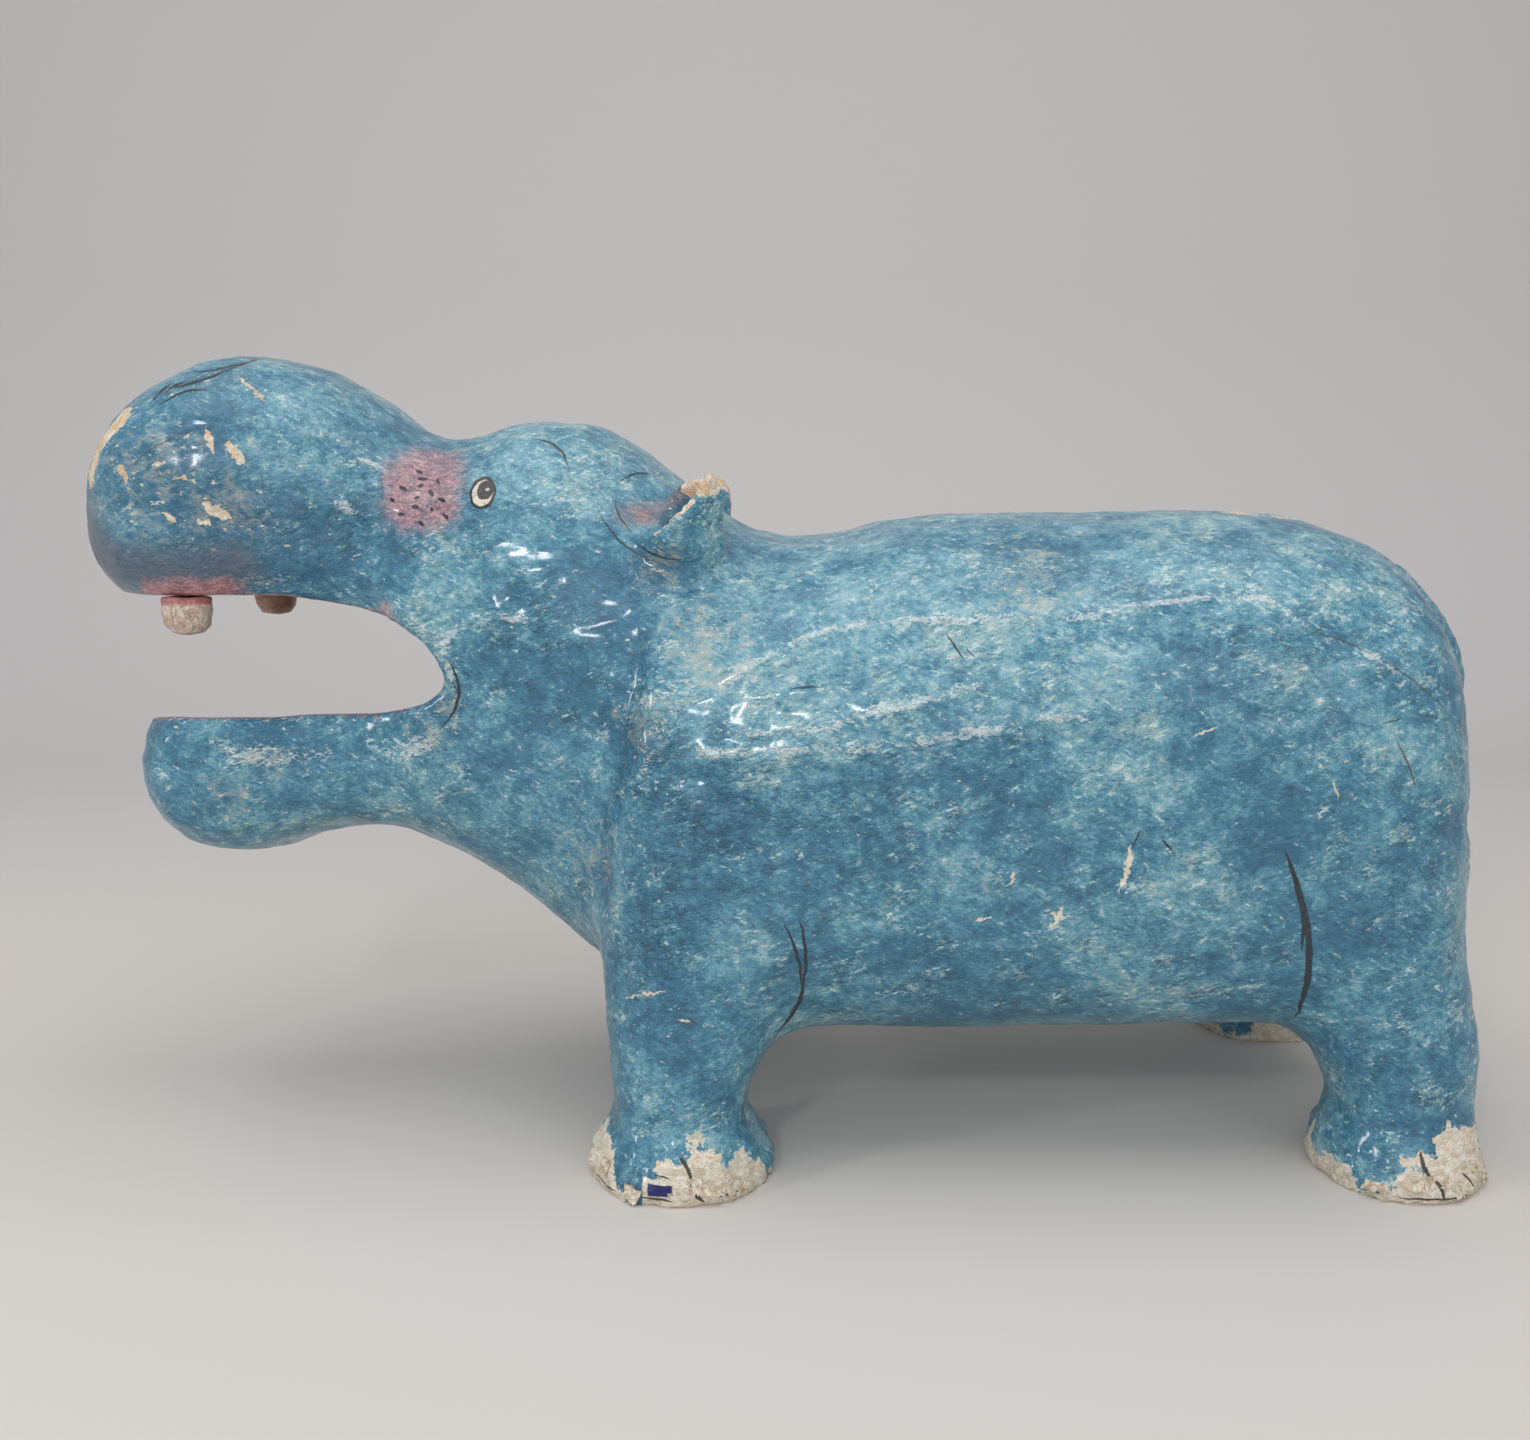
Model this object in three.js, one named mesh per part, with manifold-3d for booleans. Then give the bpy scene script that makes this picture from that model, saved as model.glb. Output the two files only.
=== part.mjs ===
// A papier-mache hippopotamus with its mouth wide open, standing on four short legs.
// Millimetres, +Z up, head towards -X, the animal's left side towards -Y.
// The origin is on the floor, under the middle of the outline.
//
// The body is one skin. Its bulks are rounded lofts that melt into each other, so they are written
// as one field (negative inside) that is turned into a closed mesh. The mouth and the flat soles are
// then cut exactly, and the ears and the tail are joined on.

import * as THREE from 'three';
import { mergeVertices } from 'three/addons/utils/BufferGeometryUtils.js';
import Module from 'manifold-3d';

const wasm = await Module();
wasm.setup();

// ---- Driving dimensions ------------------------------------------------------------------------

const SKIN_CELL = [15.5, 14.5, 13];  // mesh size of the skin along X, Y and Z
const SKIN_BLEND = 24;           // how widely two bulks of the body melt together
const LEG_BLEND = 22;            // how widely a leg melts into the trunk
const SEAT_GAP = 0.3;            // clearance between a tusk and the gum it sits on
const SMALL_ROUND = 18;          // sides of the small round forms

const FOOT_SPREAD = 90;          // from the middle of the animal to a foot's middle, sideways
const LEG_LEAN = 0.12;           // how much a leg leans inwards as it rises
const FOOT_RADIUS = 40.5;        // a front foot at its widest
const REAR_FOOT_RADIUS = 36;     // a rear foot at its widest
const ANKLE_RADIUS = 30;         // a leg at its narrowest, just above the foot

const MOUTH_CORNER_X = -144;     // where the lips meet
const MOUTH_CORNER_Z = 212;
const MOUTH_ROOF_Z = 248;        // underside of the upper jaw
const MOUTH_FLOOR_Z = 194.5;     // top of the lower jaw's left rim
const JAW_ROLL = 0.15;           // how steeply the lower jaw's top falls towards the right side
const JAW_RIM_SIDE = 60;         // the lower jaw's rim, sideways
const BED_SIZE = [60, 42, 9];    // half length, half width and depth of the dish in the floor
const BED_X = -225;

const TUSK_X = -258;
const TUSK_SIDE = 58;            // a tusk's middle, sideways
const TUSK_RADIUS = 11;
const TUSK_FLATNESS = 0.85;      // a tusk's width as a share of its fore-and-aft size
const TUSK_LENGTH = 17;

// Each bulk along the body has its form, which is how long its rounded ends are and how square its
// section is above and below, and its stations: [x, top, bottom, half width].
const TRUNK_FORM = { nose: 40, tail: 43, squareness: { above: 2.6, below: 3.2 } };
const TRUNK = [
  [-88, 240, 70, 96],
  [-50, 254, 60, 108],
  [0, 264, 50, 113],
  [60, 281, 49, 115],
  [140, 283, 51, 117],
  [215, 283, 53, 118],
  [255, 275, 56, 115],
  [285, 257, 62, 107],
  [309, 235, 72, 94],
];
const HEAD_FORM = { nose: 30, tail: 30, squareness: { above: 2.3, below: 2.6 } };
const HEAD = [
  [-185, 312, 139, 58],
  [-155, 309, 132, 68],
  [-120, 323, 108, 78],
  [-90, 323, 81, 83],
  [-60, 310, 64, 85],
  [-30, 286, 60, 88],
  [0, 266, 58, 94],
  [40, 264, 58, 98],
];
const MUZZLE_FORM = { nose: 46, tail: 20, squareness: { above: 2.4, below: 3 } };
const MUZZLE = [
  [-314, 318, 244, 70],
  [-285, 338, 238, 77],
  [-250, 353, 234, 79],
  [-215, 350, 234, 73],
  [-180, 332, 228, 64],
  [-150, 308, 215, 62],
  [-110, 300, 190, 64],
];
const JAW_FORM = { nose: 30, tail: 20, squareness: { above: 3, below: 2.5 } };
const JAW = [
  [-296, 195, 146, 56],
  [-270, 206, 128, 62],
  [-240, 208, 125, 64],
  [-205, 210, 136, 62],
  [-165, 214, 137, 62],
  [-110, 216, 118, 70],
];
// Each station of a leg, upwards: [z, fore-and-aft middle, half length, half width].
const FRONT_LEG = [
  [0, -42, FOOT_RADIUS - 1, FOOT_RADIUS - 1],
  [6, -42, FOOT_RADIUS, FOOT_RADIUS],
  [14, -42, FOOT_RADIUS - 3, FOOT_RADIUS - 3],
  [24, -43, ANKLE_RADIUS, ANKLE_RADIUS + 1],
  [36, -43, ANKLE_RADIUS, ANKLE_RADIUS + 1],
  [60, -38, ANKLE_RADIUS + 6, ANKLE_RADIUS + 3],
  [100, -34, ANKLE_RADIUS + 11, ANKLE_RADIUS + 4],
  [140, -32, ANKLE_RADIUS + 11, ANKLE_RADIUS],
];
const REAR_LEG = [
  [0, 269, REAR_FOOT_RADIUS - 1, REAR_FOOT_RADIUS + 1],
  [6, 269, REAR_FOOT_RADIUS, REAR_FOOT_RADIUS + 2],
  [14, 269, REAR_FOOT_RADIUS - 3, REAR_FOOT_RADIUS - 1],
  [24, 271, ANKLE_RADIUS, ANKLE_RADIUS + 1],
  [36, 271, ANKLE_RADIUS, ANKLE_RADIUS + 1],
  [60, 267, ANKLE_RADIUS + 6, ANKLE_RADIUS + 3],
  [100, 256, ANKLE_RADIUS + 9, ANKLE_RADIUS + 5],
  [140, 249, ANKLE_RADIUS + 9, ANKLE_RADIUS],
];
// An ear is a cup that opens forwards and up. The middle of its rim and the directions of its tip
// and of its opening are given for the left side.
const EAR_MIDDLE = [-46, -66, 286];
const EAR_TIP = [0.74, -0.12, 0.67];
const EAR_OPEN = [-0.62, -0.38, 0.69];
const EAR_SIZE = [18, 15, 24];   // half length, half width, depth
const EAR_HOLLOW = [15, 11, 14];
const EAR_POINT = 0.35;          // how far the tip is drawn out, as a share of the half length
const EAR_ROOT = [-43, -57, 272];  // a swelling that the ear grows out of
const EAR_ROOT_SIZE = [20, 19, 17];
// The tail is a short flat stub that lies on the rump.
const TAIL_TOP = [294, 250];
const TAIL_END = [322, 205];
const TAIL_SIZE = [11, 12];      // half thickness, half width
const TAIL_SIDE = 2.3;           // how far it lies off the middle

// ---- Curves and fields -------------------------------------------------------------------------

// A smooth curve through one column of a table of stations, held level past both ends.
function column(table, index) {
  const last = table.length - 1;
  const slope = (i) => {
    const before = table[Math.max(i - 1, 0)];
    const after = table[Math.min(i + 1, last)];
    return (after[index] - before[index]) / (after[0] - before[0]);
  };
  return (at) => {
    if (at <= table[0][0]) return table[0][index];
    if (at >= table[last][0]) return table[last][index];
    const i = table.findIndex((row) => row[0] > at) - 1;
    const span = table[i + 1][0] - table[i][0];
    const t = (at - table[i][0]) / span;
    const start = table[i][index];
    const end = table[i + 1][index];
    const ease = t * t * (3 - 2 * t);
    const leave = t * (1 - t) * (1 - t) * span * slope(i);
    const arrive = t * t * (1 - t) * span * slope(i + 1);
    return start + (end - start) * ease + leave - arrive;
  };
}

// Length of a side pair in a rounded-square sense: exponent 2 is a circle, more is squarer.
function norm(a, b, exponent) {
  return (Math.abs(a) ** exponent + Math.abs(b) ** exponent) ** (1 / exponent);
}

// Signed distance, about, from a rounded bulk: how far out a point is against the skin in its
// direction. The offsets are measured from the bulk's middle line.
function bulkDistance(offset, size, squareness, roundness) {
  const [along, side, up] = offset;
  const across = norm(side / size[1], up / size[2], up > 0 ? squareness.above : squareness.below);
  const level = norm(along / size[0], across, roundness);
  if (level < 0.05) return -Math.min(size[1], size[2]);
  return Math.hypot(along, side, up) * (1 - 1 / level);
}

// How far a position lies beyond a stretch, with a sign.
function beyond(at, low, high) {
  return Math.min(at - low, 0) + Math.max(at - high, 0);
}

// A bulk along X through a table of [x, top, bottom, half width], with rounded ends.
function bulkAlong(table, { nose, tail, squareness }) {
  const roundness = 2.2;
  const top = column(table, 1);
  const bottom = column(table, 2);
  const half = column(table, 3);
  const low = table[0][0] + nose;
  const high = table[table.length - 1][0] - tail;
  return (x, y, z) => {
    const along = beyond(x, low, high);
    const middle = (top(x) + bottom(x)) / 2;
    const size = [along < 0 ? nose : tail, half(x), (top(x) - bottom(x)) / 2];
    return bulkDistance([along, y, z - middle], size, squareness, roundness);
  };
}

// A leg: an upright bulk through a table of [z, middle, half length, half width]. It runs past the
// floor, where it is cut flat, and ends rounded inside the trunk.
function leg(table, side) {
  const middle = column(table, 1);
  const halfLength = column(table, 2);
  const halfWidth = column(table, 3);
  const shoulder = table[table.length - 1][0];
  const crown = 50;
  return (x, y, z) => {
    const above = Math.max(z - shoulder, 0);
    const ahead = x - middle(z);
    const outwards = y - side * (FOOT_SPREAD - LEG_LEAN * z);
    const across = norm(ahead / halfLength(z), outwards / halfWidth(z), 2.2);
    const level = norm(above / crown, across, 2);
    if (level < 0.05) return -halfWidth(z);
    return Math.hypot(ahead, outwards, above) * (1 - 1 / level);
  };
}

// Two fields melted into one over a reach.
function melt(a, b, reach) {
  const h = Math.max(reach - Math.abs(a - b), 0) / reach;
  return Math.min(a, b) - (h * h * reach) / 4;
}

// ---- From a field to a solid -------------------------------------------------------------------

// The closed mesh of a field's zero surface: one vertex for each grid cell that the surface crosses
// (surface nets), then drawn onto the surface by a few Newton steps.
function surface(field, low, high, cell) {
  const counts = low.map((value, i) => Math.ceil((high[i] - value) / cell[i]) + 1);
  const [nx, ny, nz] = counts;
  const at = (i, j, k) => (k * ny + j) * nx + i;
  const point = (...step) => low.map((value, axis) => value + step[axis] * cell[axis]);
  const values = new Float64Array(nx * ny * nz);
  for (let k = 0; k < nz; k += 1) {
    for (let j = 0; j < ny; j += 1) {
      for (let i = 0; i < nx; i += 1) values[at(i, j, k)] = field(...point(i, j, k));
    }
  }

  const corners = [];
  for (let c = 0; c < 8; c += 1) corners.push([c & 1, (c >> 1) & 1, (c >> 2) & 1]);
  const edges = [];
  for (let a = 0; a < 8; a += 1) {
    for (const bit of [1, 2, 4]) {
      if (!(a & bit)) edges.push([a, a | bit]);
    }
  }

  const positions = [];
  const vertexOf = new Map();
  for (let k = 0; k < nz - 1; k += 1) {
    for (let j = 0; j < ny - 1; j += 1) {
      for (let i = 0; i < nx - 1; i += 1) {
        const corner = corners.map(([a, b, c]) => values[at(i + a, j + b, k + c)]);
        const crossings = edges.filter(([a, b]) => corner[a] < 0 !== corner[b] < 0);
        if (crossings.length === 0) continue;
        const sum = [0, 0, 0];
        for (const [a, b] of crossings) {
          const t = corner[a] / (corner[a] - corner[b]);
          for (let axis = 0; axis < 3; axis += 1) {
            sum[axis] += corners[a][axis] * (1 - t) + corners[b][axis] * t;
          }
        }
        const start = point(i, j, k);
        const middle = sum.map((value, axis) => start[axis] + (value / crossings.length) * cell[axis]);
        vertexOf.set(at(i, j, k), positions.length / 3);
        positions.push(...settle(field, middle, start, cell));
      }
    }
  }

  // Each grid edge that the surface crosses gives one square between its four neighbouring cells.
  const index = [];
  const steps = [[1, 0, 0], [0, 1, 0], [0, 0, 1]];
  for (let k = 1; k < nz - 1; k += 1) {
    for (let j = 1; j < ny - 1; j += 1) {
      for (let i = 1; i < nx - 1; i += 1) {
        const here = values[at(i, j, k)] < 0;
        for (let axis = 0; axis < 3; axis += 1) {
          const [di, dj, dk] = steps[axis];
          const there = values[at(i + di, j + dj, k + dk)] < 0;
          if (here === there) continue;
          const [ui, uj, uk] = steps[(axis + 1) % 3];
          const [vi, vj, vk] = steps[(axis + 2) % 3];
          const ring = [
            at(i, j, k),
            at(i - ui, j - uj, k - uk),
            at(i - ui - vi, j - uj - vj, k - uk - vk),
            at(i - vi, j - vj, k - vk),
          ].map((cellIndex) => vertexOf.get(cellIndex));
          const [a, b, c, d] = here ? ring : ring.reverse();
          index.push(...splitSquare(positions, a, b, c, d));
        }
      }
    }
  }

  const geometry = new THREE.BufferGeometry();
  geometry.setAttribute('position', new THREE.Float32BufferAttribute(positions, 3));
  geometry.setIndex(index);
  return geometry;
}

// A point moved onto the zero surface of a field, and kept inside its own grid cell, so that no two
// vertices meet.
function settle(field, from, corner, cell) {
  const nudge = 0.5;
  const rounds = 4;
  const inset = 0.06;
  const place = [...from];
  for (let round = 0; round < rounds; round += 1) {
    const value = field(...place);
    const gradient = place.map((_, axis) => {
      const ahead = [...place];
      const behind = [...place];
      ahead[axis] += nudge;
      behind[axis] -= nudge;
      return (field(...ahead) - field(...behind)) / (2 * nudge);
    });
    const steepness = Math.max(gradient.reduce((sum, slope) => sum + slope * slope, 0), 0.05);
    for (let axis = 0; axis < 3; axis += 1) {
      const low = corner[axis] + inset * cell[axis];
      const high = corner[axis] + (1 - inset) * cell[axis];
      const moved = place[axis] - (value * gradient[axis]) / steepness;
      place[axis] = THREE.MathUtils.clamp(moved, low, high);
    }
  }
  return place;
}

// Two triangles for a square of the mesh, split along its shorter diagonal.
function splitSquare(positions, a, b, c, d) {
  const gap = (p, q) => Math.hypot(
    positions[3 * p] - positions[3 * q],
    positions[3 * p + 1] - positions[3 * q + 1],
    positions[3 * p + 2] - positions[3 * q + 2],
  );
  return gap(a, c) < gap(b, d) ? [a, b, c, a, c, d] : [a, b, d, b, c, d];
}

function toSolid(geometry) {
  const bare = geometry.clone();
  bare.deleteAttribute('normal');
  bare.deleteAttribute('uv');
  const merged = mergeVertices(bare, 1e-4);
  return new wasm.Manifold(new wasm.Mesh({
    numProp: 3,
    vertProperties: new Float32Array(merged.attributes.position.array),
    triVerts: new Uint32Array(merged.index.array),
  }));
}

function toGeometry(solid) {
  const mesh = solid.getMesh();
  const geometry = new THREE.BufferGeometry();
  geometry.setAttribute('position', new THREE.BufferAttribute(mesh.vertProperties, 3));
  geometry.setIndex(new THREE.BufferAttribute(mesh.triVerts, 1));
  geometry.computeVertexNormals();
  return geometry;
}

// ---- The body ----------------------------------------------------------------------------------

function skinSolid() {
  const trunk = bulkAlong(TRUNK, TRUNK_FORM);
  const head = bulkAlong(HEAD, HEAD_FORM);
  const muzzle = bulkAlong(MUZZLE, MUZZLE_FORM);
  const jaw = bulkAlong(JAW, JAW_FORM);
  const legs = [];
  for (const side of [-1, 1]) {
    legs.push(leg(FRONT_LEG, side));
    legs.push(leg(REAR_LEG, side));
  }
  const belowFloor = 12;
  const field = (x, y, z) => {
    let skin = melt(trunk(x, y, z), head(x, y, z), SKIN_BLEND);
    skin = melt(skin, muzzle(x, y, z), SKIN_BLEND);
    skin = melt(skin, jaw(x, y, z), SKIN_BLEND);
    for (const column of legs) skin = melt(skin, column(x, y, z), LEG_BLEND);
    return Math.max(skin, -z - belowFloor);
  };
  const low = [MUZZLE[0][0] - 31, -169, -44];
  const high = [TRUNK[TRUNK.length - 1][0] + 31, 169, 385];
  return toSolid(surface(field, low, high, SKIN_CELL));
}

// The open mouth, a notch right through from side to side. Its end is round, its roof is level, and
// its floor falls away towards the right side.
function mouthSolid() {
  const front = -400;
  const outline = new THREE.Shape();
  outline.moveTo(front, MOUTH_ROOF_Z);
  outline.lineTo(-215, MOUTH_ROOF_Z);
  outline.bezierCurveTo(-190, MOUTH_ROOF_Z - 4, -150, 240, MOUTH_CORNER_X, MOUTH_CORNER_Z);
  outline.bezierCurveTo(MOUTH_CORNER_X, 202, -156, 198, -178, MOUTH_FLOOR_Z + 1.5);
  outline.lineTo(-225, MOUTH_FLOOR_Z);
  outline.lineTo(front, MOUTH_FLOOR_Z);
  const depth = 300;
  const geometry = new THREE.ExtrudeGeometry(outline, { depth, bevelEnabled: false, curveSegments: 8 });
  geometry.rotateX(Math.PI / 2);
  geometry.translate(0, depth / 2, 0);
  const position = geometry.attributes.position;
  const fall = MOUTH_CORNER_Z - MOUTH_FLOOR_Z;
  for (let i = 0; i < position.count; i += 1) {
    const below = THREE.MathUtils.clamp((MOUTH_CORNER_Z - position.getZ(i)) / fall, 0, 1);
    position.setZ(i, position.getZ(i) - below * JAW_ROLL * (position.getY(i) + JAW_RIM_SIDE));
  }
  return toSolid(geometry);
}

// A ball drawn out to three half sizes.
function ballGeometry(size, middle) {
  const ball = new THREE.SphereGeometry(1, SMALL_ROUND, SMALL_ROUND / 2);
  ball.scale(...size);
  ball.translate(...middle);
  return ball;
}

// Everything below the floor, which cuts the soles flat.
function floorSolid() {
  const depth = 100;
  const box = new THREE.BoxGeometry(1200, 600, depth);
  box.translate(0, 0, -depth / 2);
  return toSolid(box);
}

// A bowl whose rim is drawn out to a blunt tip along X. It opens along +Y, and a low dome closes it.
function bowlGeometry([length, width, depth], dome) {
  const profile = [];
  for (let i = 0; i <= 5; i += 1) {
    const turn = (i / 5) * (Math.PI / 2);
    profile.push(new THREE.Vector2(Math.sin(turn), -Math.cos(turn)));
  }
  profile.push(new THREE.Vector2(0, dome));
  const bowl = new THREE.LatheGeometry(profile, SMALL_ROUND);
  const position = bowl.attributes.position;
  for (let i = 0; i < position.count; i += 1) {
    const x = position.getX(i);
    const stretch = x > 0 ? 1 + EAR_POINT * x * x : 1;
    const pinch = x > 0 ? 1 - EAR_POINT * x : 1;
    position.setXYZ(i, x * length * stretch, position.getY(i) * depth, position.getZ(i) * width * pinch);
  }
  return bowl;
}

// An ear: a bowl on a swelling of the head, with a smaller bowl taken out of it.
function earSolid(side) {
  const mirror = new THREE.Vector3(1, -side, 1);
  const tip = new THREE.Vector3(...EAR_TIP).multiply(mirror).normalize();
  const open = new THREE.Vector3(...EAR_OPEN).multiply(mirror);
  open.addScaledVector(tip, -open.dot(tip)).normalize();
  const across = new THREE.Vector3().crossVectors(tip, open);
  const place = new THREE.Matrix4().makeBasis(tip, open, across);
  place.setPosition(new THREE.Vector3(...EAR_MIDDLE).multiply(mirror));
  const cup = bowlGeometry(EAR_SIZE, 0.1).applyMatrix4(place);
  const hollow = bowlGeometry(EAR_HOLLOW, 1).applyMatrix4(place);
  const root = ballGeometry(EAR_ROOT_SIZE, new THREE.Vector3(...EAR_ROOT).multiply(mirror));
  return [toSolid(cup).add(toSolid(root)), toSolid(hollow)];
}

function tailSolid() {
  const [topX, topZ] = TAIL_TOP;
  const [endX, endZ] = TAIL_END;
  const [thick, wide] = TAIL_SIZE;
  const length = Math.hypot(endX - topX, endZ - topZ) / 2 + thick;
  const stub = ballGeometry([thick, wide, length], [0, 0, 0]);
  stub.rotateY(-Math.atan2(endX - topX, topZ - endZ));
  stub.translate((topX + endX) / 2, TAIL_SIDE, (topZ + endZ) / 2);
  return toSolid(stub);
}

// A stub tooth with a round end, hanging from the gum.
function tuskGeometry() {
  const shares = [[0, 1], [0.62, 0.95], [0.9, 0.75], [1, 0.4], [1, 0], [0, 0]];
  const profile = shares.map(([out, down]) => new THREE.Vector2(out * TUSK_RADIUS, -down * TUSK_LENGTH));
  const geometry = new THREE.LatheGeometry(profile, SMALL_ROUND);
  geometry.rotateX(Math.PI / 2);
  geometry.scale(1, TUSK_FLATNESS, 1);
  return geometry;
}

// ---- Assembly ----------------------------------------------------------------------------------

let skin = skinSolid().subtract(mouthSolid()).subtract(floorSolid());
const bedZ = MOUTH_FLOOR_Z - JAW_ROLL * JAW_RIM_SIDE;
skin = skin.subtract(toSolid(ballGeometry(BED_SIZE, [BED_X, 0, bedZ])));
for (const side of [-1, 1]) {
  const [ear, hollow] = earSolid(side);
  skin = skin.add(ear).subtract(hollow);
}
skin = skin.add(tailSolid());

const group = new THREE.Group();
const paintedPaper = new THREE.MeshStandardMaterial({ color: 0x4a83a0, roughness: 0.35, metalness: 0 });
const hippo = new THREE.Mesh(toGeometry(skin), paintedPaper);
hippo.name = 'hippo';
group.add(hippo);

for (const [name, side] of [['left_tusk', -1], ['right_tusk', 1]]) {
  const toothPaste = new THREE.MeshStandardMaterial({ color: 0xd9a99a, roughness: 0.5, metalness: 0 });
  const tusk = new THREE.Mesh(tuskGeometry(), toothPaste);
  tusk.name = name;
  tusk.position.set(TUSK_X, side * TUSK_SIDE, MOUTH_ROOF_Z - SEAT_GAP);
  group.add(tusk);
}

// The origin goes under the middle of the whole outline.
const middle = new THREE.Box3().setFromObject(group).getCenter(new THREE.Vector3());
middle.z = 0;
for (const piece of group.children) piece.position.sub(middle);

export default group;
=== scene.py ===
# %% [markdown]
# # A blue papier-mache hippopotamus
# The animal is a hollow shell of glued newspaper, painted in broken blues and varnished. Its mouth
# stands wide open, two short tusks hang from the upper gum, and the paint has flaked off the feet,
# the snout's front edge and the tips of the ears, down to the cream paste underneath.
#
# The solids of the part come in first as a fixed frame. Everything made here is fitted to them, so
# nothing in this lesson changes a size.

# %% Load the frame
import math
import bpy
import numpy as np
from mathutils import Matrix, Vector, noise


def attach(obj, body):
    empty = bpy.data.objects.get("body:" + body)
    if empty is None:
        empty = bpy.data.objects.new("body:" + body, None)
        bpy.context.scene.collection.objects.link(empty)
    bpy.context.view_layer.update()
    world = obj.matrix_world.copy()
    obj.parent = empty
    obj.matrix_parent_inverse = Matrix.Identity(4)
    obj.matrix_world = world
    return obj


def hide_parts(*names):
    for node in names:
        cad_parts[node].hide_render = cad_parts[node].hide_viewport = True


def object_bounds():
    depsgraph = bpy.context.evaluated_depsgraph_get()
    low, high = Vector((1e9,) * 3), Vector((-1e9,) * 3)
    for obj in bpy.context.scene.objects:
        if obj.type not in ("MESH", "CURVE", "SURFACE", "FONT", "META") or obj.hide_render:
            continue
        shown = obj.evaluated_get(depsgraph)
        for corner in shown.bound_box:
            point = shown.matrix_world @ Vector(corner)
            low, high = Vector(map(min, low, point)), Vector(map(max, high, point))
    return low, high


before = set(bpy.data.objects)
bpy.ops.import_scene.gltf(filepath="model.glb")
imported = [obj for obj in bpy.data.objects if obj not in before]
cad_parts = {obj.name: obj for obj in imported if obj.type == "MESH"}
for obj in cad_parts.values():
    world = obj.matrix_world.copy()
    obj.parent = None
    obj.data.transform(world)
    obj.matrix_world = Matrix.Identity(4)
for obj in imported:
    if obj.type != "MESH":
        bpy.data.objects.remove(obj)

MM = 0.001
solid_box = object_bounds()
print("the solids are", [round(b - a, 4) for a, b in zip(*solid_box)], "metres long, wide and high")

# %% [markdown]
# ## The camera
# The animal is seen from its left side, from a little above its back, with a lens of moderate width.
# The camera comes first, so that every later step can be looked at from the same place.

# %% Place the camera
CAMERA_PLACE = (-0.0142, -0.688, 0.289)
CAMERA_DIP = 8.657   # degrees below the horizon
LENS, FILM_WIDTH = 34.0, 36.0   # millimetres

camera_data = bpy.data.cameras.new("side_camera")
camera_data.lens, camera_data.sensor_width = LENS, FILM_WIDTH
camera = bpy.data.objects.new("side_camera", camera_data)
camera.location = CAMERA_PLACE
camera.rotation_euler = (math.radians(90 - CAMERA_DIP), 0, 0)
bpy.context.scene.collection.objects.link(camera)
bpy.context.scene.camera = camera
print("camera at", CAMERA_PLACE, "with a lens of", LENS, "mm")

# %% [markdown]
# ## Reading and writing a mesh as arrays
# A skin of nearly a hundred thousand points is too much to move one by one in a loop. The points are
# read into a numpy array, moved all together, and written back.

# %% Array helpers
def points_of(mesh):
    """The mesh's points in millimetres."""
    flat = np.empty(len(mesh.vertices) * 3)
    mesh.vertices.foreach_get("co", flat)
    return flat.reshape(-1, 3) / MM


def put_points(mesh, points):
    """Moves the mesh's points to where they are given, in millimetres."""
    mesh.vertices.foreach_set("co", (points * MM).ravel())
    mesh.update()


def shade_smooth(mesh):
    """Lets the light run over the faces' edges."""
    mesh.polygons.foreach_set("use_smooth", np.ones(len(mesh.polygons), dtype=bool))


def normals_of(mesh):
    """The direction that the surface faces at each point."""
    flat = np.empty(len(mesh.vertices) * 3)
    mesh.vertex_normals.foreach_get("vector", flat)
    return flat.reshape(-1, 3)


def edges_of(mesh):
    """The pair of points at the ends of each edge."""
    flat = np.empty(len(mesh.edges) * 2, dtype=np.int64)
    mesh.edges.foreach_get("vertices", flat)
    return flat.reshape(-1, 2)


def around(edges, values):
    """The mean of each point's neighbours."""
    count = np.bincount(edges.ravel(), minlength=len(values)).clip(1)
    total = np.empty_like(values)
    for axis in range(values.shape[1]):
        total[:, axis] = (np.bincount(edges[:, 0], values[edges[:, 1], axis], len(values))
                          + np.bincount(edges[:, 1], values[edges[:, 0], axis], len(values)))
    return total / count[:, None]


SHRINK, SWELL = 0.55, -0.57   # shares of the way to the neighbours' mean


def relax(points, edges, rounds, strength=1.0):
    """Smooths the points. A round shrinks a little and swells back, so the form keeps its size."""
    weight = np.asarray(strength, dtype=float).reshape(-1, 1)
    for _ in range(rounds):
        for share in (SHRINK, SWELL):
            points = points + share * weight * (around(edges, points) - points)
    return points

# %% [markdown]
# ## Fields over the skin
# Wear, lumps and brushwork follow the form, so they are given as fields: a number for every point.
# A soft step turns a distance into a mask. A blob is a soft spot around a place on the side. A trail
# is a soft line through a few places. Places are in millimetres, as (x, z) on the side or (x, y, z).

# %% Field helpers
def soft_step(low, high, value):
    """0 below low, 1 above high, and smooth between. With low above high it falls instead."""
    share = np.clip((value - low) / (high - low), 0, 1)
    return share * share * (3 - 2 * share)


def blob(points, x, z, reach):
    """A soft spot seen from the side, on both sides of the animal."""
    return np.exp(-((points[:, 0] - x) ** 2 + (points[:, 2] - z) ** 2) / (2 * (reach / 2) ** 2))


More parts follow.
